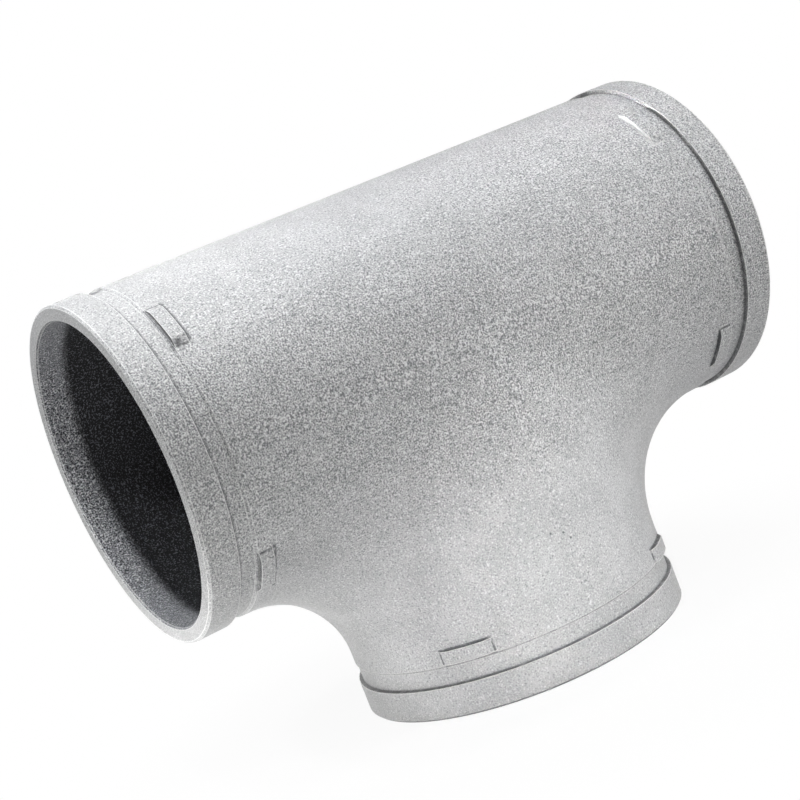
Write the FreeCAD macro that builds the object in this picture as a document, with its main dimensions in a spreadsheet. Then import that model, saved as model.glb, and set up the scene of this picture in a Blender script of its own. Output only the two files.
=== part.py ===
import FreeCAD, Part
import math
import os

import Sketcher
from FreeCAD import Placement, Rotation, Vector

# Equal tee of cast iron with three grooved ends, in millimetres.
#
# The run lies along X and the branch points straight down. Everything is built round the
# point where the two axes cross. The finished body is then lifted by one centre-to-end
# length, so the tee stands on its branch end: the origin is the centre of that end face.
#
# One casting makes the whole part. Its skin is two equal cylinders joined by a hollow
# blend that is tight in the crotch and opens out towards the front and back faces.
# Inside, two equal bores meet, and a slanting crossover bore eases each of their corners.
# Each end has a collar, a coupling groove, a low step up to the body and, just inside
# the step, four raised lugs at 45 degrees to the plane of the axes.

SIZES = (
    # ends
    ("pipe_diameter", 168.3),
    ("centre_to_end", 165.1),
    ("collar_width", 15.88),
    ("collar_wall", 7.8),
    ("groove_width", 8.74),
    ("groove_depth", 2.17),
    ("collar_edge", 1.1),
    ("mouth_edge", 0.9),
    # body
    ("step_rise", 1.0),
    ("step_length", 1.4),
    ("body_wall", 5.6),
    ("crotch_radius", 54.0),
    ("face_radius", 150.0),
    ("crossing_relief", 0.1),
    # crossover bores
    ("crossover_radius", 54.0),
    ("crossover_reach", 56.0),
    ("crossover_slant", 45.0),
    # mouth of each bore
    ("mouth_depth", 14.0),
    ("flare_length", 4.0),
    # lugs
    ("lug_gap", 0.3),
    ("lug_width", 6.9),
    ("lug_length", 18.6),
    ("lug_height", 1.9),
    ("lug_slope", 7.0),
    ("lug_root", 2.5),
    ("lug_turn", 45.0),
)
LUGS_PER_END = 4
FULL_TURN = 360.0

# Cosine of the angle by which a crossover bore slants, as the table works it out.
COSINE = "cos(Sizes.crossover_slant * 1deg)"

# Two cutting tools are drawn past the metal that they remove.
CLEARANCE = 30.0

NODE = "tee_body"


class Length:
    """A length as a number, together with the table formula that gives it."""

    def __init__(self, number, formula):
        self.number = number
        self.formula = formula

    def __add__(self, other):
        return Length(self.number + other.number, f"({self.formula} + {other.formula})")

    def __sub__(self, other):
        return Length(self.number - other.number, f"({self.formula} - {other.formula})")

    def __neg__(self):
        return Length(-self.number, f"(0 - {self.formula})")

    def half(self):
        return Length(self.number / 2, f"({self.formula} / 2)")


def fixed(number):
    return Length(number, str(number))


SIZE = {name: Length(number, f"Sizes.{name}") for name, number in SIZES}
ZERO = Length(0.0, None)

COLLAR_RADIUS = SIZE["pipe_diameter"].half()
GROOVE_RADIUS = COLLAR_RADIUS - SIZE["groove_depth"]
BODY_RADIUS = GROOVE_RADIUS + SIZE["step_rise"]
MOUTH_RADIUS = COLLAR_RADIUS - SIZE["collar_wall"]
BORE_RADIUS = BODY_RADIUS - SIZE["body_wall"]
LUG_RADIUS = BODY_RADIUS + SIZE["lug_height"]

# places along an axis, measured from the crossing point
END = SIZE["centre_to_end"]
COLLAR_BACK = END - SIZE["collar_width"]
GROOVE_BACK = COLLAR_BACK - SIZE["groove_width"]
BODY_FRONT = GROOVE_BACK - SIZE["step_length"]
LUG_FRONT = BODY_FRONT - SIZE["lug_gap"]
LUG_BACK = LUG_FRONT - SIZE["lug_width"]
MOUTH_BACK = END - SIZE["mouth_depth"]
FLARE_BACK = MOUTH_BACK - SIZE["flare_length"]


def make_table(doc):
    """Fill the table of sizes, one named cell each."""
    table = doc.addObject("Spreadsheet::Sheet", "Sizes")
    for row, (name, number) in enumerate(SIZES, start=1):
        table.set(f"A{row}", name)
        table.set(f"B{row}", str(number))
        table.setAlias(f"B{row}", name)
    doc.recompute()
    return table


def bind(thing, prop, length):
    """Tie a property to the table formula of a length."""
    thing.setExpression(prop, length.formula)


# The blended skin


def meeting_edge(shape, radius, reach):
    """Number of the curved edge where run and branch meet, and whether it starts in the crotch."""
    for number, edge in enumerate(shape.Edges, start=1):
        box = edge.BoundBox
        straight = isinstance(edge.Curve, Part.Line)
        inside = box.XMax < reach - 1 and box.ZMin > 1 - reach
        spans = box.YLength > radius / 2 and box.XLength > radius / 2
        if inside and spans and not straight:
            start = edge.valueAt(edge.FirstParameter)
            return number, abs(start.y) < radius / 2
    raise RuntimeError("the run and the branch have no meeting edge")


def equal_cross(doc, name, radius, reach):
    """Equal cylinders along X and down Z, each as a separate object."""
    run = doc.addObject("Part::Cylinder", f"{name}_run")
    run.Placement = Placement(Vector(), Rotation(Vector(0, 0, 1), Vector(1, 0, 0)))
    branch = doc.addObject("Part::Cylinder", f"{name}_branch")
    branch.Placement = Placement(Vector(), Rotation(Vector(0, 0, 1), Vector(0, 0, -1)))
    bind(run, "Radius", radius)
    bind(branch, "Radius", radius - SIZE["crossing_relief"])
    for cylinder in (run, branch):
        bind(cylinder, "Height", reach)
    return run, branch


def mirrored_pair(doc, name, half, normal):
    """A shape and its mirror image as one."""
    mirrored = doc.addObject("Part::Mirroring", f"{name}_mirrored")
    mirrored.Source = half
    mirrored.Normal = normal
    pair = doc.addObject("Part::MultiFuse", name)
    pair.Shapes = [half, mirrored]
    pair.Refine = True
    return pair


def blended_skin(doc):
    """The run and the branch, joined by a blend that opens out from the crotch to the face.

    One quarter is made and mirrored twice. The branch is thinner by a hair, so that the
    two walls cross in one clean curve instead of touching at the front and the back.
    """
    cell = doc.addObject("Part::Box", "skin_cell")
    bind(cell, "Length", END)
    bind(cell, "Width", END)
    bind(cell, "Height", END + END)
    bind(cell, "Placement.Base.y", -END)
    bind(cell, "Placement.Base.z", -END)
    joined = doc.addObject("Part::MultiFuse", "skin_joined")
    joined.Shapes = list(equal_cross(doc, "skin", BODY_RADIUS, END))
    quarter = doc.addObject("Part::Common", "skin_quarter")
    quarter.Base = joined
    quarter.Tool = cell
    doc.recompute()

    number, from_crotch = meeting_edge(quarter.Shape, BODY_RADIUS.number, END.number)
    radii = (SIZE["crotch_radius"].number, SIZE["face_radius"].number)
    blended = doc.addObject("Part::Fillet", "skin_blend")
    blended.Base = quarter
    blended.Edges = [(number, *(radii if from_crotch else radii[::-1]))]
    front = mirrored_pair(doc, "skin_front", blended, Vector(1, 0, 0))
    return mirrored_pair(doc, "skin_whole", front, Vector(0, 1, 0))


def crossover(doc):
    """A slanting bore across one crotch, which leaves the body's wall at its thinnest.

    Its nearest side touches the crotch curve moved inwards by one wall. Its middle lies on
    the line that halves the corner between the run and the branch.
    """
    bore = doc.addObject("Part::Cylinder", "crossover")
    bind(bore, "Radius", SIZE["crossover_radius"])
    bind(bore, "Height", SIZE["crossover_reach"] + SIZE["crossover_reach"])
    slant = SIZE["crossover_slant"]
    bore.Placement = Placement(Vector(), Rotation(Vector(0, 1, 0), slant.number))
    bind(bore, "Placement.Rotation.Angle", slant)
    wall = SIZE["crotch_radius"] + SIZE["body_wall"] + SIZE["crossover_radius"]
    centre = f"({(BODY_RADIUS + SIZE['crotch_radius']).formula} - {wall.formula} * {COSINE})"
    back = f"{SIZE['crossover_reach'].formula} * {COSINE}"
    bore.setExpression("Placement.Base.x", f"{centre} - {back}")
    bore.setExpression("Placement.Base.z", f"0 - {centre} - {back}")
    return bore


def hollow_cross(doc):
    """The skin less its bores, which stop short of the ends."""
    skin = blended_skin(doc)
    half = doc.addObject("Part::MultiFuse", "bore_half")
    half.Shapes = [*equal_cross(doc, "bore", BORE_RADIUS, FLARE_BACK), crossover(doc)]
    shell = doc.addObject("Part::Cut", "shell")
    shell.Base = skin
    shell.Tool = mirrored_pair(doc, "bores", half, Vector(1, 0, 0))
    doc.recompute()
    return shell


# Sketches


def origin_part(body, role):
    """One of the body's own planes or axes."""
    for feature in body.Origin.OriginFeatures:
        if feature.Role == role:
            return feature
    raise RuntimeError(f"the body has no {role}")


def new_sketch(body, name, role):
    sketch = body.newObject("Sketcher::SketchObject", name)
    sketch.AttachmentSupport = (origin_part(body, role), [""])
    sketch.MapMode = "FlatFace"
    return sketch


def pin_point(sketch, line, end, across, up):
    """Hold one end of a line at a distance across and up from the origin."""
    for kind, length, axis in (("DistanceX", across, -2), ("DistanceY", up, -1)):
        if length.formula is None:
            sketch.addConstraint(Sketcher.Constraint("PointOnObject", line, end, axis))
            continue
        index = sketch.addConstraint(
            Sketcher.Constraint(kind, -1, 1, line, end, length.number)
        )
        sketch.setExpression(f"Constraints[{index}]", length.formula)


def polygon(body, name, role, corners):
    """A closed sketch through corners, each a pair of lengths across and up."""
    sketch = new_sketch(body, name, role)
    points = [Vector(across.number, up.number, 0) for across, up in corners]
    for start, finish in zip(points, points[1:] + points[:1]):
        sketch.addGeometry(Part.LineSegment(start, finish), False)
    for line in range(len(points)):
        following = (line + 1) % len(points)
        sketch.addConstraint(Sketcher.Constraint("Coincident", line, 2, following, 1))
    for line, (across, up) in enumerate(corners):
        pin_point(sketch, line, 1, across, up)
    return sketch


def lug_section(body, name, role, along):
    """A lug as seen along the pipe: a curved top, two sloping ends and a flat, buried root."""
    sketch = new_sketch(body, name, role)
    sketch.AttachmentOffset = Placement(
        Vector(0, 0, along.number), Rotation(Vector(0, 0, 1), SIZE["lug_turn"].number)
    )
    bind(sketch, "AttachmentOffset.Base.z", along)
    bind(sketch, "AttachmentOffset.Rotation.Angle", SIZE["lug_turn"])

    half_top = SIZE["lug_length"].half()
    half_root = half_top + SIZE["lug_slope"]
    root = BODY_RADIUS - SIZE["lug_root"]
    radius = LUG_RADIUS.number
    swing = math.asin(half_top.number / radius)
    rise = radius * math.cos(swing)
    top_left = Vector(-half_top.number, rise, 0)
    top_right = Vector(half_top.number, rise, 0)
    root_left = Vector(-half_root.number, root.number, 0)
    root_right = Vector(half_root.number, root.number, 0)
    circle = Part.Circle(Vector(), Vector(0, 0, 1), radius)
    top = sketch.addGeometry(
        Part.ArcOfCircle(circle, math.pi / 2 - swing, math.pi / 2 + swing), False
    )
    left = sketch.addGeometry(Part.LineSegment(top_left, root_left), False)
    floor = sketch.addGeometry(Part.LineSegment(root_left, root_right), False)
    right = sketch.addGeometry(Part.LineSegment(root_right, top_right), False)
    for one, end, other, start in (
        (top, 2, left, 1),
        (left, 2, floor, 1),
        (floor, 2, right, 1),
        (right, 2, top, 1),
        (top, 3, -1, 1),
    ):
        sketch.addConstraint(Sketcher.Constraint("Coincident", one, end, other, start))
    curve = sketch.addConstraint(Sketcher.Constraint("Radius", top, radius))
    sketch.setExpression(f"Constraints[{curve}]", LUG_RADIUS.formula)
    pin_point(sketch, floor, 1, -half_root, root)
    pin_point(sketch, floor, 2, half_root, root)
    for line, end, across in ((left, 1, -half_top), (right, 2, half_top)):
        index = sketch.addConstraint(
            Sketcher.Constraint("DistanceX", -1, 1, line, end, across.number)
        )
        sketch.setExpression(f"Constraints[{index}]", across.formula)
    return sketch


# The ends


class PipeEnd:
    """One grooved end, and how its profile lies on the body's XZ plane."""

    def __init__(self, name, axis, cross_plane, turned, outward):
        self.name = name
        self.axis = axis
        self.cross_plane = cross_plane
        self.turned = turned
        self.outward = outward

    def at(self, along, radius):
        """Where a point at a distance along and off the axis falls on the sketch."""
        reach = along if self.outward > 0 else -along
        return (radius, reach) if self.turned else (reach, radius)

    def profile(self, body, name, corners):
        placed = [self.at(along, radius) for along, radius in corners]
        return polygon(body, f"{self.name}_{name}", "XZ_Plane", placed)

    def lug_start(self):
        """Where the lug's section lies, so that its pad runs along the plane's normal."""
        return LUG_BACK if self.outward > 0 else -LUG_FRONT


ENDS = (
    PipeEnd("right", "X_Axis", "YZ_Plane", False, 1),
    PipeEnd("left", "X_Axis", "YZ_Plane", False, -1),
    PipeEnd("branch", "Z_Axis", "XY_Plane", True, -1),
)


def turn_feature(body, end, kind, name, corners):
    """Turn a profile once round the end's axis, to add metal or to cut it away."""
    sketch = end.profile(body, f"{name}_profile", corners)
    feature = body.newObject(kind, f"{end.name}_{name}")
    feature.Profile = sketch
    feature.ReferenceAxis = (origin_part(body, end.axis), [""])
    feature.Angle = FULL_TURN
    body.Tip = feature
    body.Document.recompute()
    return feature


def add_end(body, end):
    """Cut the groove, add the collar, open the mouth and raise the lugs of one end."""
    clear = BODY_RADIUS + fixed(CLEARANCE)
    beyond = END + fixed(CLEARANCE)
    turn_feature(
        body,
        end,
        "PartDesign::Groove",
        "groove",
        (
            (BODY_FRONT, BODY_RADIUS),
            (GROOVE_BACK, GROOVE_RADIUS),
            (beyond, GROOVE_RADIUS),
            (beyond, clear),
            (BODY_FRONT, clear),
        ),
    )
    turn_feature(
        body,
        end,
        "PartDesign::Revolution",
        "collar",
        (
            (COLLAR_BACK, MOUTH_RADIUS),
            (END, MOUTH_RADIUS),
            (END, COLLAR_RADIUS - SIZE["collar_edge"]),
            (END - SIZE["collar_edge"], COLLAR_RADIUS),
            (COLLAR_BACK, COLLAR_RADIUS),
        ),
    )
    turn_feature(
        body,
        end,
        "PartDesign::Groove",
        "mouth",
        (
            (FLARE_BACK, ZERO),
            (beyond, ZERO),
            (beyond, MOUTH_RADIUS + SIZE["mouth_edge"]),
            (END, MOUTH_RADIUS + SIZE["mouth_edge"]),
            (END - SIZE["mouth_edge"], MOUTH_RADIUS),
            (MOUTH_BACK, MOUTH_RADIUS),
            (FLARE_BACK, BORE_RADIUS),
        ),
    )
    section = lug_section(body, f"{end.name}_lug_section", end.cross_plane, end.lug_start())
    lug = body.newObject("PartDesign::Pad", f"{end.name}_lug")
    lug.Profile = section
    bind(lug, "Length", SIZE["lug_width"])
    body.Tip = lug
    body.Document.recompute()
    ring = body.newObject("PartDesign::PolarPattern", f"{end.name}_lugs")
    ring.Originals = [lug]
    ring.Axis = (origin_part(body, end.axis), [""])
    ring.Angle = FULL_TURN
    ring.Occurrences = LUGS_PER_END
    body.Tip = ring
    body.Document.recompute()


# The casting


def build_body(doc):
    """The whole casting as one body."""
    shell = hollow_cross(doc)
    body = doc.addObject("PartDesign::Body", NODE)
    body.Label = NODE
    body.BaseFeature = shell
    doc.recompute()
    for end in ENDS:
        add_end(body, end)
    bind(body, "Placement.Base.z", END)
    doc.recompute()
    return body


def check_document(doc):
    """Stop if any object of the document has failed."""
    for item in doc.Objects:
        if "Invalid" in item.State or "Error" in item.State:
            raise RuntimeError(f"{item.Name} failed: {item.State}")


def main():
    doc = FreeCAD.newDocument("equal_tee")
    make_table(doc)
    body = build_body(doc)
    check_document(doc)
    shape = body.Shape
    if shape.isNull() or not shape.isValid() or len(shape.Solids) != 1:
        raise RuntimeError(f"{NODE} is not one valid solid")
    print(f"{NODE}: volume {shape.Volume:.0f} mm3, {len(shape.Faces)} faces")
    os.makedirs("parts", exist_ok=True)
    shape.exportStep(f"parts/{NODE}.step")


main()
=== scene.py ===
"""Dresses the cast equal tee and stands it in a plain, pale studio.

The whole fitting is one casting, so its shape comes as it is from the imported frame. This
script gives it the skin of a sand-cast iron fitting under zinc, and sets up the floor, the
light and the camera. Lengths are in metres unless a name ends in mm.
"""
import logging
import math
from collections.abc import Sequence
from dataclasses import dataclass, field
from enum import Enum
from functools import partial

import bmesh
import bpy
from mathutils import Matrix, Quaternion, Vector

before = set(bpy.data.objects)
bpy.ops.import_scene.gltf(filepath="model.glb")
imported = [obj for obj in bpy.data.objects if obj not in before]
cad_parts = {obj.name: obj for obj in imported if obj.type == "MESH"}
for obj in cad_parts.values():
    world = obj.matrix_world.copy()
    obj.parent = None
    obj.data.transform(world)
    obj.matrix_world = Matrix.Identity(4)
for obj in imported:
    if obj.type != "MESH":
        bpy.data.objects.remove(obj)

LOG = logging.getLogger("tee")
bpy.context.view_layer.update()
MM = 0.001
SLANT = math.sqrt(0.5)
WHITE = "#ffffff"
SKYLIGHT = "#f9fbff"

SRGB_TOE = 0.04045
SRGB_TOE_SLOPE = 12.92
SRGB_OFFSET = 0.055
SRGB_POWER = 2.4

MATH = "ShaderNodeMath"
VECTOR_MATH = "ShaderNodeVectorMath"
MAP_RANGE = "ShaderNodeMapRange"
SEPARATE = "ShaderNodeSeparateXYZ"
MIX = "ShaderNodeMix"
MIX_SHARE, MIX_FIRST, MIX_SECOND, MIX_RESULT = 0, 6, 7, 2
COLOURS = {"data_type": "RGBA"}
EASED = {"interpolation_type": "SMOOTHSTEP"}
NOISE_MIDDLE = 0.5

Socket = bpy.types.NodeSocket
Point = tuple[float, float, float]
Bound = tuple[Socket, float, float]


def linear(hex_colour: str) -> tuple[float, float, float, float]:
    """Turn an sRGB hex colour into the linear values that Blender works in.

    Args:
        hex_colour: Six hex digits after a hash, such as "#c8c8c6".

    Returns:
        Red, green, blue and an alpha of 1.
    """
    digits = hex_colour.lstrip("#")
    shares = [int(digits[i : i + 2], 16) / 255 for i in (0, 2, 4)]
    red, green, blue = (
        share / SRGB_TOE_SLOPE
        if share <= SRGB_TOE
        else ((share + SRGB_OFFSET) / (1 + SRGB_OFFSET)) ** SRGB_POWER
        for share in shares
    )
    return red, green, blue, 1.0


def add_node(
    tree: bpy.types.NodeTree,
    kind: str,
    inputs: Sequence[object] | dict[str | int, object] = (),
    output: str | int = 0,
    **settings: object,
) -> Socket | None:
    """Add one node with its settings and its links.

    Args:
        tree: The tree that gets the node.
        kind: The node's class name.
        inputs: What the input sockets get, in order or by name. A socket is linked, a hex
            colour is set as a linear one, and anything else is set as it is.
        output: The output socket to give back.
        settings: Properties of the node itself.

    Returns:
        The output socket, or nothing from a node that has none.
    """
    node = tree.nodes.new(kind)
    for name, value in settings.items():
        setattr(node, name, value)
    pairs = inputs.items() if isinstance(inputs, dict) else enumerate(inputs)
    for key, value in pairs:
        if isinstance(value, Socket):
            tree.links.new(value, node.inputs[key])
        elif isinstance(value, str):
            node.inputs[key].default_value = linear(value)
        else:
            node.inputs[key].default_value = value
    return node.outputs[output] if node.outputs else None


def within(tree: bpy.types.NodeTree, *bounds: Bound) -> Socket:
    """Find where the skin keeps within one or more bounds.

    Args:
        tree: The tree that gets the nodes.
        bounds: For each, what is measured, then the values at which it is out and in.

    Returns:
        1 where all the bounds are kept, 0 elsewhere, with an eased border.
    """
    shares = [add_node(tree, MAP_RANGE, bound, **EASED) for bound in bounds]
    kept = shares[0]
    for share in shares[1:]:
        kept = add_node(tree, MATH, (kept, share), operation="MULTIPLY")
    return kept


def off_axis(tree: bpy.types.NodeTree, place: Socket, point: Point, way: Point) -> Socket:
    """Measure how far the skin is from a straight axis.

    Args:
        tree: The tree that gets the nodes.
        place: The coordinates of the skin.
        point: A point on the axis.
        way: The axis's direction, of length 1.

    Returns:
        The distance.
    """
    off = add_node(tree, VECTOR_MATH, (place, point), operation="SUBTRACT")
    turned = add_node(tree, VECTOR_MATH, (off, way), operation="CROSS_PRODUCT")
    return add_node(tree, VECTOR_MATH, (turned,), "Value", operation="LENGTH")


@dataclass(frozen=True)
class Tone:
    """The colours of one region: its middle tone, and its darkest and lightest grains."""

    middle: str
    dark: str
    light: str


@dataclass(frozen=True)
class Pattern:
    """An irregular pattern: the size of its grains, and how much finer detail it has."""

    size_mm: float
    finer_layers: float = 0.0
    finer_strength: float = 0.5


@dataclass(frozen=True)
class ZincCoatedSandCasting:
    """Ductile iron cast in a sand mould, blasted and hot-dip coated with zinc.

    The sand leaves an even, matt grain all over. The zinc makes it a light, neutral grey
    that is a little cloudy. Painted highlight brightens its edges, and painted shade darkens
    its corners, thin lines beside the collars, steps and lugs, and a few spots. Inside the
    bores the skin is darker, and near black behind the mouths. A pair of numbers says where
    a change starts and where it is complete.
    """

    name: str = "zinc_coated_sand_casting"
    outside: Tone = Tone("#b8b8b8", "#78797a", "#e1e1e0")
    mouth: Tone = Tone("#8e8f93", "#2e2f32", "#e4e5e7")
    waterway: Tone = Tone("#121315", "#040405", "#74767c")
    cloud: str = "#aeaeae"
    # Painted shade: darkens the corners, the thin lines and the shade spots.
    corner_shade: str = "#3a3b3e"
    pit: str = "#6a6b6d"
    # Painted highlight: brightens the edges and the lines on the lit right of the run's top.
    edge: str = "#f2f2f0"
    metallic: float = 0.2
    roughness: float = 0.55
    rough_swing: float = 0.07
    rough_grains: tuple[float, float] = (0.3, 0.7)
    core_roughness: float = 0.35
    # The real sand grain, of about 0.3 mm, is too fine to show in the render, so it is
    # drawn as coarse as it needs to be to show.
    grains: Pattern = Pattern(0.75)
    clouds: Pattern = Pattern(22.0, 3.0, 0.6)
    dimples: Pattern = Pattern(3.0, 2.0)
    dark_grains: tuple[float, float] = (0.5, 0.25)
    light_grains: tuple[float, float] = (0.5, 0.75)
    cloudy: tuple[float, float] = (0.35, 0.65)
    grain_depth_mm: float = 0.45
    branch_grain: float = 0.5
    lit_grain: float = 0.63
    dimple_depth_mm: float = 0.12
    edge_round_mm: float = 0.7
    edge_samples: int = 6
    edge_turn: tuple[float, float] = (0.998, 0.94)
    edge_open: tuple[float, float] = (0.6, 0.9)
    # The painted corner shade follows how open the skin is within this reach.
    corner_reach_mm: float = 2.6
    corner_samples: int = 8
    corner_open: tuple[float, float] = (0.85, 0.5)
    corner_shade_strength: float = 0.5
    ragged: float = 0.3
    # The thin lines beside the collars, steps and lugs are painted shade; on the lit right of the
    # run's top they are painted highlight.
    line_strength: float = 0.75
    line_breaks: tuple[float, float] = (0.3, 0.5)
    groove_share: float = 0.7
    step_share: float = 0.2
    highlight_line_share: float = 0.5
    lit_groove_share: float = 0.15
    pit_mm: float = 0.7
    pit_depth_mm: float = 0.3
    # How strong the spots of painted shade are, and where the lug's spot breaks up.
    shade_spot_strength: float = 0.75
    shade_spot_breaks: tuple[float, float] = (0.35, 0.55)


@dataclass
class TeeCasting:
    """The one-piece casting: where its waterway lies, and how its skin is dressed.

    Heights are above the floor. Depths are behind the face of the nearest end.
    """

    node: str = "tee_body"
    centre_to_end: float = 0.1651
    border: float = 0.001
    smooth_below: float = 0.07
    coarse_above: float = 0.15
    # Where light falls full on the run's top, the grain is painted weaker.
    lit_from: float = 0.195
    lit_above: float = 0.235
    lit_right: float = 0.08
    lit_left: float = -0.02
    # Where light falls on the right collar's wall, its painted shade is lighter.
    lit_groove_from: float = 0.19
    lit_groove_above: float = 0.225
    waterway_radius: float = 0.0797
    mouth_radius: float = 0.0775
    land_depth: float = 0.0145
    land_fade: float = 0.008
    land_wander: float = 0.003
    crossover_radius: float = 0.0562
    crossover_reach: float = 0.056
    crossover_centre: float = 0.05665
    collar_back: float = 0.01588
    groove_back: float = 0.02462
    lug_front: float = 0.02632
    lug_back: float = 0.03322
    lug_half_length: float = 0.0128
    line_rise: float = 0.0001
    # Widths of the thin lines of painted shade beside the collars, the steps and the lugs.
    groove_line: float = 0.0008
    left_groove_line: float = 0.0026
    step_line: float = 0.0009
    lug_line: float = 0.0012
    hidden_lug_line: float = 0.0026
    hidden_fade: float = 0.0005
    pit_places: tuple[Point, ...] = (
        (-0.0017, -0.0828, 0.0656),
        (-0.0080, -0.0825, 0.0678),
        (0.0011, -0.0828, 0.0618),
        (-0.1053, -0.0525, 0.2294),
    )
    # Spots of painted shade: one, with grime, on a lug's shaded end, and two at the top of the run's
    # grooves.
    lug_shade_and_grime: tuple[Point, ...] = ((-0.1376, -0.0674, 0.2143),)
    lug_shade_and_grime_mm: float = 4.5
    groove_shade_spots: tuple[Point, ...] = ((-0.1452, -0.0050, 0.2467), (0.1452, 0.0, 0.2470))
    groove_shade_mm: float = 8.0
    finish: ZincCoatedSandCasting = field(default_factory=ZincCoatedSandCasting)

    def dress(self) -> None:
        """Give the casting's frame node its material."""
        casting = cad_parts[self.node]
        material = self.material()
        for slot in casting.material_slots:
            slot.material = material
        LOG.info("%s: %s on %d faces", self.node, material.name, len(casting.data.polygons))

    def material(self) -> bpy.types.Material:
        """Build the casting's material.

        Returns:
            A material that reads the casting's own coordinates.
        """
        finish = self.finish
        material = bpy.data.materials.new(finish.name)
        material.use_nodes = True
        tree = material.node_tree
        tree.nodes.clear()
        add = partial(add_node, tree)
        place = add("ShaderNodeTexCoord", output="Object")
        grain, cloud, dimple = (
            add(
                "ShaderNodeTexNoise",
                {
                    "Vector": place,
                    "Scale": 1 / (pattern.size_mm * MM),
                    "Detail": pattern.finer_layers,
                    "Roughness": pattern.finer_strength,
                },
            )
            for pattern in (finish.grains, finish.clouds, finish.dimples)
        )
        grain = self.calmed(tree, place, grain)
        pits = self.spots(tree, place, self.pit_places, finish.pit_mm)
        waterway, inside = self.inside_shares(tree, place, dimple)
        edge_radius = finish.edge_round_mm * MM
        rounded = add("ShaderNodeBevel", {"Radius": edge_radius}, samples=finish.edge_samples)
        shares = {"pits": pits, "waterway": waterway, "inside": inside}
        colour = self.coloured(tree, place, (grain, cloud, dimple), rounded, shares)

        relief = rounded
        for height, depth_mm, hollow in (
            (dimple, finish.dimple_depth_mm, False),
            (pits, finish.pit_depth_mm, True),
            (grain, finish.grain_depth_mm, False),
        ):
            sockets = {"Strength": 1.0, "Distance": depth_mm * MM, "Height": height, "Normal": relief}
            relief = add("ShaderNodeBump", sockets, invert=hollow)
        smoothest = finish.roughness - finish.rough_swing
        roughest = finish.roughness + finish.rough_swing
        rough = add(MAP_RANGE, (grain, *finish.rough_grains, smoothest, roughest))
        rough = add(MATH, (inside, finish.core_roughness, rough), operation="MULTIPLY_ADD")
        sockets = {
            "Base Color": colour,
            "Metallic": finish.metallic,
            "Roughness": rough,
            "Normal": relief,
        }
        shader = add("ShaderNodeBsdfPrincipled", sockets)
        add("ShaderNodeOutputMaterial", {"Surface": shader})
        return material

    def coloured(
        self,
        tree: bpy.types.NodeTree,
        place: Socket,
        patterns: tuple[Socket, Socket, Socket],
        rounded: Socket,
        shares: dict[str, Socket],
    ) -> Socket:
        """Colour the skin, from its plain tones to its painted shade on lines, spots and corners,
        painted highlight on edges, and pits.

        Args:
            tree: The material's tree.
            place: The casting's own coordinates.
            patterns: The sand grain, the clouds and the dimples, from 0 to 1.
            rounded: The direction of the surface with its edges rounded off.
            shares: Where the pits, the waterway and all that is inside are.

        Returns:
            The skin's colour.
        """
        finish = self.finish
        add = partial(add_node, tree)
        grain, cloud, dimple = patterns
        waterway, inside = shares["waterway"], shares["inside"]
        # The lines and spots of painted shade, and the painted highlight on the lit lines.
        painted_shade, painted_highlight = self.lines(tree, place, dimple)
        painted_shade = add(MATH, (painted_shade, self.shade_and_grime_spots(tree, place, dimple)), operation="MAXIMUM")
        painted_shade = add(MATH, (painted_shade, inside), operation="SUBTRACT", use_clamp=True)
        cloudy = within(tree, (cloud, *finish.cloudy))
        tones = {MIX_SHARE: cloudy, MIX_FIRST: finish.outside.middle, MIX_SECOND: finish.cloud}
        middle = add(MIX, tones, MIX_RESULT, **COLOURS)
        colour = self.grained(tree, grain, middle, finish.outside)
        for share, over in (
            (inside, self.grained(tree, grain, finish.mouth.middle, finish.mouth)),
            (waterway, self.grained(tree, grain, finish.waterway.middle, finish.waterway)),
            # Painted shade on the thin lines and spots.
            (painted_shade, finish.corner_shade),
        ):
            tones = {MIX_SHARE: share, MIX_FIRST: colour, MIX_SECOND: over}
            colour = add(MIX, tones, MIX_RESULT, **COLOURS)
        colour = self.corner_shade_and_edge_highlight(tree, colour, rounded, waterway, dimple)
        # Painted highlight on the lit lines, then the pits.
        for share, over in ((painted_highlight, finish.edge), (shares["pits"], finish.pit)):
            tones = {MIX_SHARE: share, MIX_FIRST: colour, MIX_SECOND: over}
            colour = add(MIX, tones, MIX_RESULT, **COLOURS)
        return colour

    def spots(
        self,
        tree: bpy.types.NodeTree,
        place: Socket,
        middles: tuple[Point, ...],
        size_mm: float,
    ) -> Socket:
        """Find a few small spots on the skin.

        Args:
            tree: The material's tree.
            place: The casting's own coordinates.
            middles: Where the middles of the spots are.
            size_mm: How far a spot reaches from its middle.

        Returns:
            1 in a spot, 0 elsewhere.
        """
        reach = size_mm * MM
        found: Socket | float = 0.0
        for middle in middles:
            off = add_node(tree, VECTOR_MATH, (place, middle), "Value", operation="DISTANCE")
            spot = within(tree, (off, reach, reach / 2))
            found = add_node(tree, MATH, (found, spot), operation="MAXIMUM")
        return found

    def shade_and_grime_spots(self, tree: bpy.types.NodeTree, place: Socket, dimple: Socket) -> Socket:
        """Find the spots of painted shade: one, with grime, on a lug's shaded end, and two in the
        run's grooves.

        Args:
            tree: The material's tree.
            place: The casting's own coordinates.
            dimple: A noise that breaks up the spot on the lug.

        Returns:
            How strong the painted shade is there, from 0 to 1.
        """
        on_lug = self.spots(tree, place, self.lug_shade_and_grime, self.lug_shade_and_grime_mm)
        broken = within(tree, (dimple, *self.finish.shade_spot_breaks))
        on_lug = add_node(tree, MATH, (on_lug, broken), operation="MULTIPLY")
        in_groove = self.spots(tree, place, self.groove_shade_spots, self.groove_shade_mm)
        both = add_node(tree, MATH, (on_lug, in_groove), operation="MAXIMUM")
        return add_node(tree, MATH, (both, self.finish.shade_spot_strength), operation="MULTIPLY")

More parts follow.
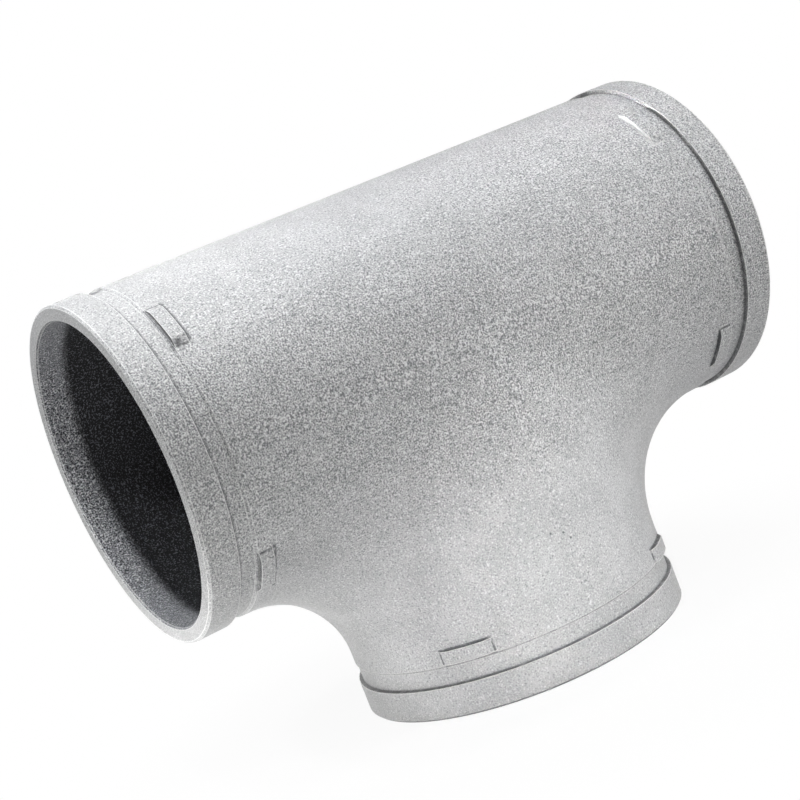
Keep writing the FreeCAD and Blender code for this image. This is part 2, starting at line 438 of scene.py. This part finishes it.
    def calmed(self, tree: bpy.types.NodeTree, place: Socket, grain: Socket) -> Socket:
        """Make the grain weaker on the branch and on the left of the run's top.

        Light falls full on these parts and flattens the grain there, so the grain is painted weaker to
        stand in for that light.

        Args:
            tree: The material's tree.
            place: The casting's own coordinates.
            grain: The sand grain, from 0 to 1.

        Returns:
            The grain, still centred on a half.
        """
        add = partial(add_node, tree)
        along, _, height = add(SEPARATE, (place,)).node.outputs
        branch = (height, self.smooth_below, self.coarse_above, self.finish.branch_grain)
        strength = add(MAP_RANGE, branch, **EASED)
        top_left = within(
            tree,
            (height, self.lit_from, self.lit_above),
            (along, self.lit_right, self.lit_left),
        )
        loss = self.finish.lit_grain - 1
        strength = add(MATH, (top_left, loss, strength), operation="MULTIPLY_ADD")
        swing = add(MATH, (grain, NOISE_MIDDLE), operation="SUBTRACT")
        return add(MATH, (swing, strength, NOISE_MIDDLE), operation="MULTIPLY_ADD")

    def grained(
        self, tree: bpy.types.NodeTree, grain: Socket, middle: Socket | str, tone: Tone
    ) -> Socket:
        """Colour one region of the skin, with its dark and light grains.

        Args:
            tree: The material's tree.
            grain: The sand grain, from 0 to 1.
            middle: The colour between the grains.
            tone: The colours of the grains.

        Returns:
            The region's colour.
        """
        colour = middle
        for reach, over in (
            (self.finish.dark_grains, tone.dark),
            (self.finish.light_grains, tone.light),
        ):
            share = within(tree, (grain, *reach))
            tones = {MIX_SHARE: share, MIX_FIRST: colour, MIX_SECOND: over}
            colour = add_node(tree, MIX, tones, MIX_RESULT, **COLOURS)
        return colour

    def corner_shade_and_edge_highlight(
        self,
        tree: bpy.types.NodeTree,
        colour: Socket,
        rounded: Socket,
        waterway: Socket,
        dimple: Socket,
    ) -> Socket:
        """Paint shade in the corners and highlights on the edges, outside the waterway.

        Args:
            tree: The material's tree.
            colour: The colour of the plain skin.
            rounded: The direction of the surface with its edges rounded off.
            waterway: 1 in the waterway, where edges and corners stay as they are.
            dimple: A noise that makes the lines ragged.

        Returns:
            The colour with its painted corner shade and edge highlights.
        """
        finish = self.finish
        add = partial(add_node, tree)
        reach = {"Distance": finish.corner_reach_mm * MM}
        free = add("ShaderNodeAmbientOcclusion", reach, "AO", samples=finish.corner_samples)
        swing = add(MATH, (dimple, NOISE_MIDDLE), operation="SUBTRACT")
        free = add(MATH, (swing, finish.ragged, free), operation="MULTIPLY_ADD")
        flat = add("ShaderNodeNewGeometry", output="Normal")
        straight = add(VECTOR_MATH, (flat, rounded), "Value", operation="DOT_PRODUCT")
        # Painted shade in the corners, then painted highlight on the edges.
        for found, strength, over in (
            (within(tree, (free, *finish.corner_open)), finish.corner_shade_strength, finish.corner_shade),
            (within(tree, (straight, *finish.edge_turn), (free, *finish.edge_open)), 1.0, finish.edge),
        ):
            share = add(MATH, (found, waterway), operation="SUBTRACT", use_clamp=True)
            share = add(MATH, (share, strength), operation="MULTIPLY")
            tones = {MIX_SHARE: share, MIX_FIRST: colour, MIX_SECOND: over}
            colour = add(MIX, tones, MIX_RESULT, **COLOURS)
        return colour

    def beside(
        self, tree: bpy.types.NodeTree, value: Socket, start: float, width: float
    ) -> Socket:
        """Find a thin line beside a border of the casting.

        Args:
            tree: The material's tree.
            value: How far the skin is from the border, or from the face of the end.
            start: The value at the border.
            width: How wide the line is; its outer half fades.

        Returns:
            1 on the line, 0 elsewhere.
        """
        stop = start + width
        return within(tree, (value, start - self.line_rise, start), (value, stop, stop - width / 2))

    def end_lines(
        self,
        tree: bpy.types.NodeTree,
        depth: Socket,
        sides: tuple[Socket, Socket],
        hidden: Socket | float,
    ) -> Socket:
        """Find the lines of painted shade beside the step and round the lugs of one end.

        Args:
            tree: The material's tree.
            depth: How far the skin is behind the end's face.
            sides: How far it is from the end's axis, along each of the cross directions.
            hidden: 1 where the line behind a lug is wider, 0 elsewhere.

        Returns:
            How strong the lines are, from 0 to 1.
        """
        add = partial(add_node, tree)
        lug_middle = (self.lug_front + self.lug_back) / 2
        half_width = (self.lug_back - self.lug_front) / 2
        off_width = add(MATH, (depth, lug_middle), operation="SUBTRACT")
        off_width = add(MATH, (off_width,), operation="ABSOLUTE")
        off_width = add(MATH, (off_width, half_width), operation="SUBTRACT")
        off_length = add(MATH, sides, operation="SUBTRACT")
        off_length = add(MATH, (off_length,), operation="ABSOLUTE")
        off_length = add(MATH, (off_length, SLANT, -self.lug_half_length), operation="MULTIPLY_ADD")
        off_lug = add(MATH, (off_width, off_length), operation="MAXIMUM")
        behind = within(tree, (depth, self.lug_back, self.lug_back + self.hidden_fade))
        behind = add(MATH, (behind, hidden), operation="MULTIPLY")
        widening = self.lug_line / self.hidden_lug_line - 1
        nearer = add(MATH, (behind, widening, 1.0), operation="MULTIPLY_ADD")
        off_lug = add(MATH, (off_lug, nearer), operation="MULTIPLY")
        round_lug = self.beside(tree, off_lug, 0.0, self.lug_line)
        step = self.beside(tree, depth, self.groove_back, self.step_line)
        step = add(MATH, (step, self.finish.step_share), operation="MULTIPLY")
        return add(MATH, (step, round_lug), operation="MAXIMUM")

    def lines(
        self, tree: bpy.types.NodeTree, place: Socket, dimple: Socket
    ) -> tuple[Socket, Socket]:
        """Find the thin lines of painted shade behind the collars, at the steps and round the lugs.

        On the right of the run's top, where light falls, the lines round the lugs and at the steps are
        painted highlight instead, and the painted shade behind the collar is lighter.

        Args:
            tree: The material's tree.
            place: The casting's own coordinates.
            dimple: A noise that breaks the lines up.

        Returns:
            How strong the painted shade and the painted highlight are there, from 0 to 1.
        """
        finish = self.finish
        add = partial(add_node, tree)
        left_to_right, _, height = add(SEPARATE, (place,)).node.outputs
        crossing = (0.0, 0.0, self.centre_to_end)
        off = add(VECTOR_MATH, (place, crossing), operation="SUBTRACT")
        off = add(VECTOR_MATH, (off,), operation="ABSOLUTE")
        along, across, level = add(SEPARATE, (off,)).node.outputs
        left = within(tree, (left_to_right, 0.0, -self.border))
        right: Bound = (left_to_right, 0.0, self.border)
        # The right of the run's top, where light falls: its lines are painted highlight, not painted
        # shade.
        lit = within(tree, right, (height, self.centre_to_end, self.centre_to_end + self.border))
        run_depth = add(MATH, (self.centre_to_end, along), operation="SUBTRACT")
        on_run = self.end_lines(tree, run_depth, (across, level), left)
        painted_highlight = add(MATH, (on_run, lit), operation="MULTIPLY")
        painted_highlight = add(MATH, (painted_highlight, finish.highlight_line_share), operation="MULTIPLY")
        on_branch = self.end_lines(tree, height, (along, across), 0.0)
        painted_shade = add(MATH, (on_run, on_branch), operation="MAXIMUM")
        unlit = add(MATH, (1.0, lit), operation="SUBTRACT")
        painted_shade = add(MATH, (painted_shade, unlit), operation="MULTIPLY")

        # Less painted shade behind the right collar's top, where light falls on the collar's wall.
        lit_groove = within(tree, right, (height, self.lit_groove_from, self.lit_groove_above))
        loss = (finish.lit_groove_share - 1) * finish.groove_share
        strength = add(MATH, (lit_groove, loss, finish.groove_share), operation="MULTIPLY_ADD")
        right_depth = add(MATH, (self.centre_to_end, left_to_right), operation="SUBTRACT")
        left_depth = add(MATH, (left_to_right, self.centre_to_end), operation="ADD")
        for depth, width in (
            (right_depth, self.groove_line),
            (left_depth, self.left_groove_line),
            (height, self.groove_line),
        ):
            groove = self.beside(tree, depth, self.collar_back, width)
            groove = add(MATH, (groove, strength), operation="MULTIPLY")
            painted_shade = add(MATH, (painted_shade, groove), operation="MAXIMUM")
        broken = within(tree, (dimple, *finish.line_breaks))
        broken = add(MATH, (broken, finish.line_strength), operation="MULTIPLY")
        return add(MATH, (painted_shade, broken), operation="MULTIPLY"), painted_highlight

    def inside_shares(
        self, tree: bpy.types.NodeTree, place: Socket, dimple: Socket
    ) -> tuple[Socket, Socket]:
        """Tell the bores' walls from the rest of the skin.

        Args:
            tree: The material's tree.
            place: The casting's own coordinates.
            dimple: A noise that makes the waterway's border ragged.

        Returns:
            The share of waterway, and the share of all that is inside.
        """
        add = partial(add_node, tree)
        along, across, height = add(SEPARATE, (place,)).node.outputs
        side = add(MATH, (along,), operation="ABSOLUTE")
        below = add(MATH, (self.centre_to_end, height), operation="SUBTRACT")
        swing = add(MATH, (dimple, NOISE_MIDDLE), operation="SUBTRACT")
        ragged_side = add(MATH, (swing, self.land_wander, side), operation="MULTIPLY_ADD")
        off_run = off_axis(tree, place, (0.0, 0.0, self.centre_to_end), (1.0, 0.0, 0.0))
        off_branch = off_axis(tree, place, (0.0, 0.0, 0.0), (0.0, 0.0, 1.0))

        folded = add("ShaderNodeCombineXYZ", (side, across, below))
        crossover = (self.crossover_centre, 0.0, self.crossover_centre)
        slanting = (SLANT, 0.0, -SLANT)
        off_crossover = off_axis(tree, folded, crossover, slanting)
        on_crossover = add(VECTOR_MATH, (folded, slanting), "Value", operation="DOT_PRODUCT")
        on_crossover = add(MATH, (on_crossover,), operation="ABSOLUTE")

        land = self.centre_to_end - self.land_depth
        behind_land = (land + self.land_fade / 2, land - self.land_fade / 2)
        under: Bound = (below, 0.0, self.border)
        run_wall, branch_wall, crossover_wall, run_mouth, branch_mouth = (
            (off, radius, radius - self.border)
            for off, radius in (
                (off_run, self.waterway_radius),
                (off_branch, self.waterway_radius),
                (off_crossover, self.crossover_radius),
                (off_run, self.mouth_radius),
                (off_branch, self.mouth_radius),
            )
        )
        reach: Bound = (on_crossover, self.crossover_reach, self.crossover_reach - self.border)
        waterway = within(tree, run_wall, (ragged_side, *behind_land))
        for share in (
            within(tree, branch_wall, under, (below, *behind_land)),
            within(tree, crossover_wall, reach),
        ):
            waterway = add(MATH, (waterway, share), operation="MAXIMUM")
        inside = waterway
        for share in (within(tree, run_mouth), within(tree, branch_mouth, under)):
            inside = add(MATH, (inside, share), operation="MAXIMUM")
        return waterway, inside


class Target(Enum):
    """The places on the fitting that a lamp may face."""

    MIDDLE = (0.0, 0.0, 0.14)
    BRANCH = (0.02, -0.06, 0.05)
    LEFT_END = (-0.13, 0.0, 0.22)
    RIGHT_LUG = (0.135, -0.045, 0.235)


@dataclass(frozen=True)
class Lamp:
    """One soft, square lamp; a narrow spread keeps its light near what it faces."""

    name: str
    place: Point
    size: float
    power: float
    target: Target = Target.MIDDLE
    spread_deg: float = 180.0
    colour: str = WHITE


@dataclass(frozen=True)
class WhitePaper:
    """Matt paper that glows white to the camera, least near the fitting and its shadow."""

    name: str = "white_paper"
    colour: str = "#f4f4f3"
    glow_near: float = 0.93
    near: float = 0.07
    far: float = 0.25


@dataclass
class Studio:
    """A pale floor under a white surround, with soft lamps round the fitting."""

    floor_side: float = 60.0
    paper: WhitePaper = WhitePaper()
    lamps: tuple[Lamp, ...] = (
        Lamp("top", (0.05, 0.0, 0.6), 0.2, 0.4, colour=SKYLIGHT),
        Lamp("front_right_high", (0.2, -0.2, 0.6), 0.2, 0.96, colour=SKYLIGHT),
        Lamp("right_high", (0.5, -0.4, 0.45), 0.2, 0.48),
        Lamp("front_high", (0.2, -0.4, 0.45), 0.2, 0.2),
        Lamp("left_low", (-0.25, 0.0, 0.03), 0.1, 0.2),
        Lamp("front_low", (-0.2, -0.2, 0.03), 0.1, 0.095),
        Lamp("branch_from_front", (0.5, -0.7, 0.4), 0.12, 0.073, Target.BRANCH, 26.0),
        Lamp("branch_from_left", (-0.5, -0.8, 0.1), 0.12, 0.051, Target.BRANCH, 16.0),
        Lamp("end_from_left", (-0.5, 0.0, 0.8), 0.12, 0.13, Target.LEFT_END, 32.0, SKYLIGHT),
        Lamp("end_from_front", (-0.2, -0.3, 0.9), 0.12, 0.054, Target.LEFT_END, 20.0),
        Lamp("lug_from_left", (-0.45, -0.05, 0.33), 0.05, 0.018, Target.RIGHT_LUG, 6.0),
        Lamp("back", (0.0, 0.85, 0.12), 0.4, 2.0),
    )

    def build(self) -> None:
        """Make the floor, the surround and the lamps."""
        self.make_floor()
        self.make_surround()
        for lamp in self.lamps:
            self.hang(lamp)

    def make_floor(self) -> None:
        """Lay the floor that the branch end stands on."""
        shape = bmesh.new()
        bmesh.ops.create_grid(
            shape, x_segments=1, y_segments=1, size=self.floor_side / 2
        )
        mesh = bpy.data.meshes.new("floor")
        shape.to_mesh(mesh)
        shape.free()
        floor = bpy.data.objects.new("floor", mesh)
        bpy.context.scene.collection.objects.link(floor)
        mesh.materials.append(self.floor_material())
        LOG.info("floor: %.0f m a side", self.floor_side)

    @staticmethod
    def seen_directly(tree: bpy.types.NodeTree) -> Socket:
        """Tell rays that see the background, also in a reflection, from those that light.

        Args:
            tree: The tree of the floor's material or the world.

        Returns:
            1 for a camera, glossy or transmission ray, otherwise 0.
        """
        rays = add_node(tree, "ShaderNodeLightPath").node.outputs
        seen = rays["Is Camera Ray"]
        for kind in ("Is Glossy Ray", "Is Transmission Ray"):
            seen = add_node(tree, MATH, (seen, rays[kind]), operation="MAXIMUM")
        return seen

    def floor_material(self) -> bpy.types.Material:
        """Build the paper, which shows as white to the camera and keeps a soft shadow.

        Returns:
            A material that reads the floor's own coordinates.
        """
        paper = self.paper
        material = bpy.data.materials.new(paper.name)
        material.use_nodes = True
        tree = material.node_tree
        tree.nodes.clear()
        add = partial(add_node, tree)
        place = add("ShaderNodeTexCoord", output="Object")
        away = add(VECTOR_MATH, (place,), "Value", operation="LENGTH")
        glow = add(MAP_RANGE, (away, paper.near, paper.far, paper.glow_near), **EASED)
        share = add(MATH, (glow, self.seen_directly(tree)), operation="MULTIPLY")
        matt = add("ShaderNodeBsdfDiffuse", {"Color": paper.colour})
        white = add("ShaderNodeEmission", {"Strength": 1.0})
        shown = add("ShaderNodeMixShader", (share, matt, white))
        add("ShaderNodeOutputMaterial", {"Surface": shown})
        return material

    def make_surround(self) -> None:
        """Make white behind the fitting and in its reflections; it sheds no light."""
        world = bpy.data.worlds.new("surround")
        world.use_nodes = True
        tree = world.node_tree
        tree.nodes.clear()
        sockets = {"Color": WHITE, "Strength": self.seen_directly(tree)}
        back = add_node(tree, "ShaderNodeBackground", sockets)
        add_node(tree, "ShaderNodeOutputWorld", {"Surface": back})
        bpy.context.scene.world = world

    def hang(self, lamp: Lamp) -> None:
        """Hang one lamp and turn it to the fitting.

        Args:
            lamp: What and where the lamp is.
        """
        light = bpy.data.lights.new(lamp.name, "AREA")
        light.shape = "SQUARE"
        light.size = lamp.size
        light.energy = lamp.power
        light.color = linear(lamp.colour)[:3]
        light.spread = math.radians(lamp.spread_deg)
        holder = bpy.data.objects.new(lamp.name, light)
        holder.visible_camera = False
        place = Vector(lamp.place)
        turn = (Vector(lamp.target.value) - place).to_track_quat("-Z", "Y")
        holder.matrix_world = Matrix.Translation(place) @ turn.to_matrix().to_4x4()
        bpy.context.scene.collection.objects.link(holder)
        LOG.info("lamp %s: %.2f W on the %s", lamp.name, lamp.power, lamp.target.name)


@dataclass(frozen=True)
class Viewpoint:
    """Where the camera stands: in front, a little above the axes and rolled to the left."""

    place: Point = (-0.41823, -0.83013, 0.26501)
    turn: tuple[float, float, float, float] = (0.689676, 0.658180, -0.026847, -0.300708)
    lens_mm: float = 84.595
    sensor_mm: float = 36.0
    sees_from: float = 0.01
    sees_to: float = 200.0

    def build(self) -> None:
        """Make the scene's camera."""
        camera = bpy.data.cameras.new("camera")
        camera.lens = self.lens_mm
        camera.sensor_width = self.sensor_mm
        camera.sensor_fit = "AUTO"
        camera.clip_start = self.sees_from
        camera.clip_end = self.sees_to
        stand = bpy.data.objects.new("camera", camera)
        turn = Quaternion(self.turn).to_matrix().to_4x4()
        stand.matrix_world = Matrix.Translation(Vector(self.place)) @ turn
        bpy.context.scene.collection.objects.link(stand)
        bpy.context.scene.camera = stand
        LOG.info("camera: %.1f mm lens", self.lens_mm)


def main() -> None:
    """Dress the casting, then set up the studio and the camera."""
    logging.basicConfig(level=logging.INFO, format="%(name)s: %(message)s")
    bpy.context.scene.view_settings.view_transform = "Standard"
    TeeCasting().dress()
    Studio().build()
    Viewpoint().build()


if __name__ == "__main__":
    main()
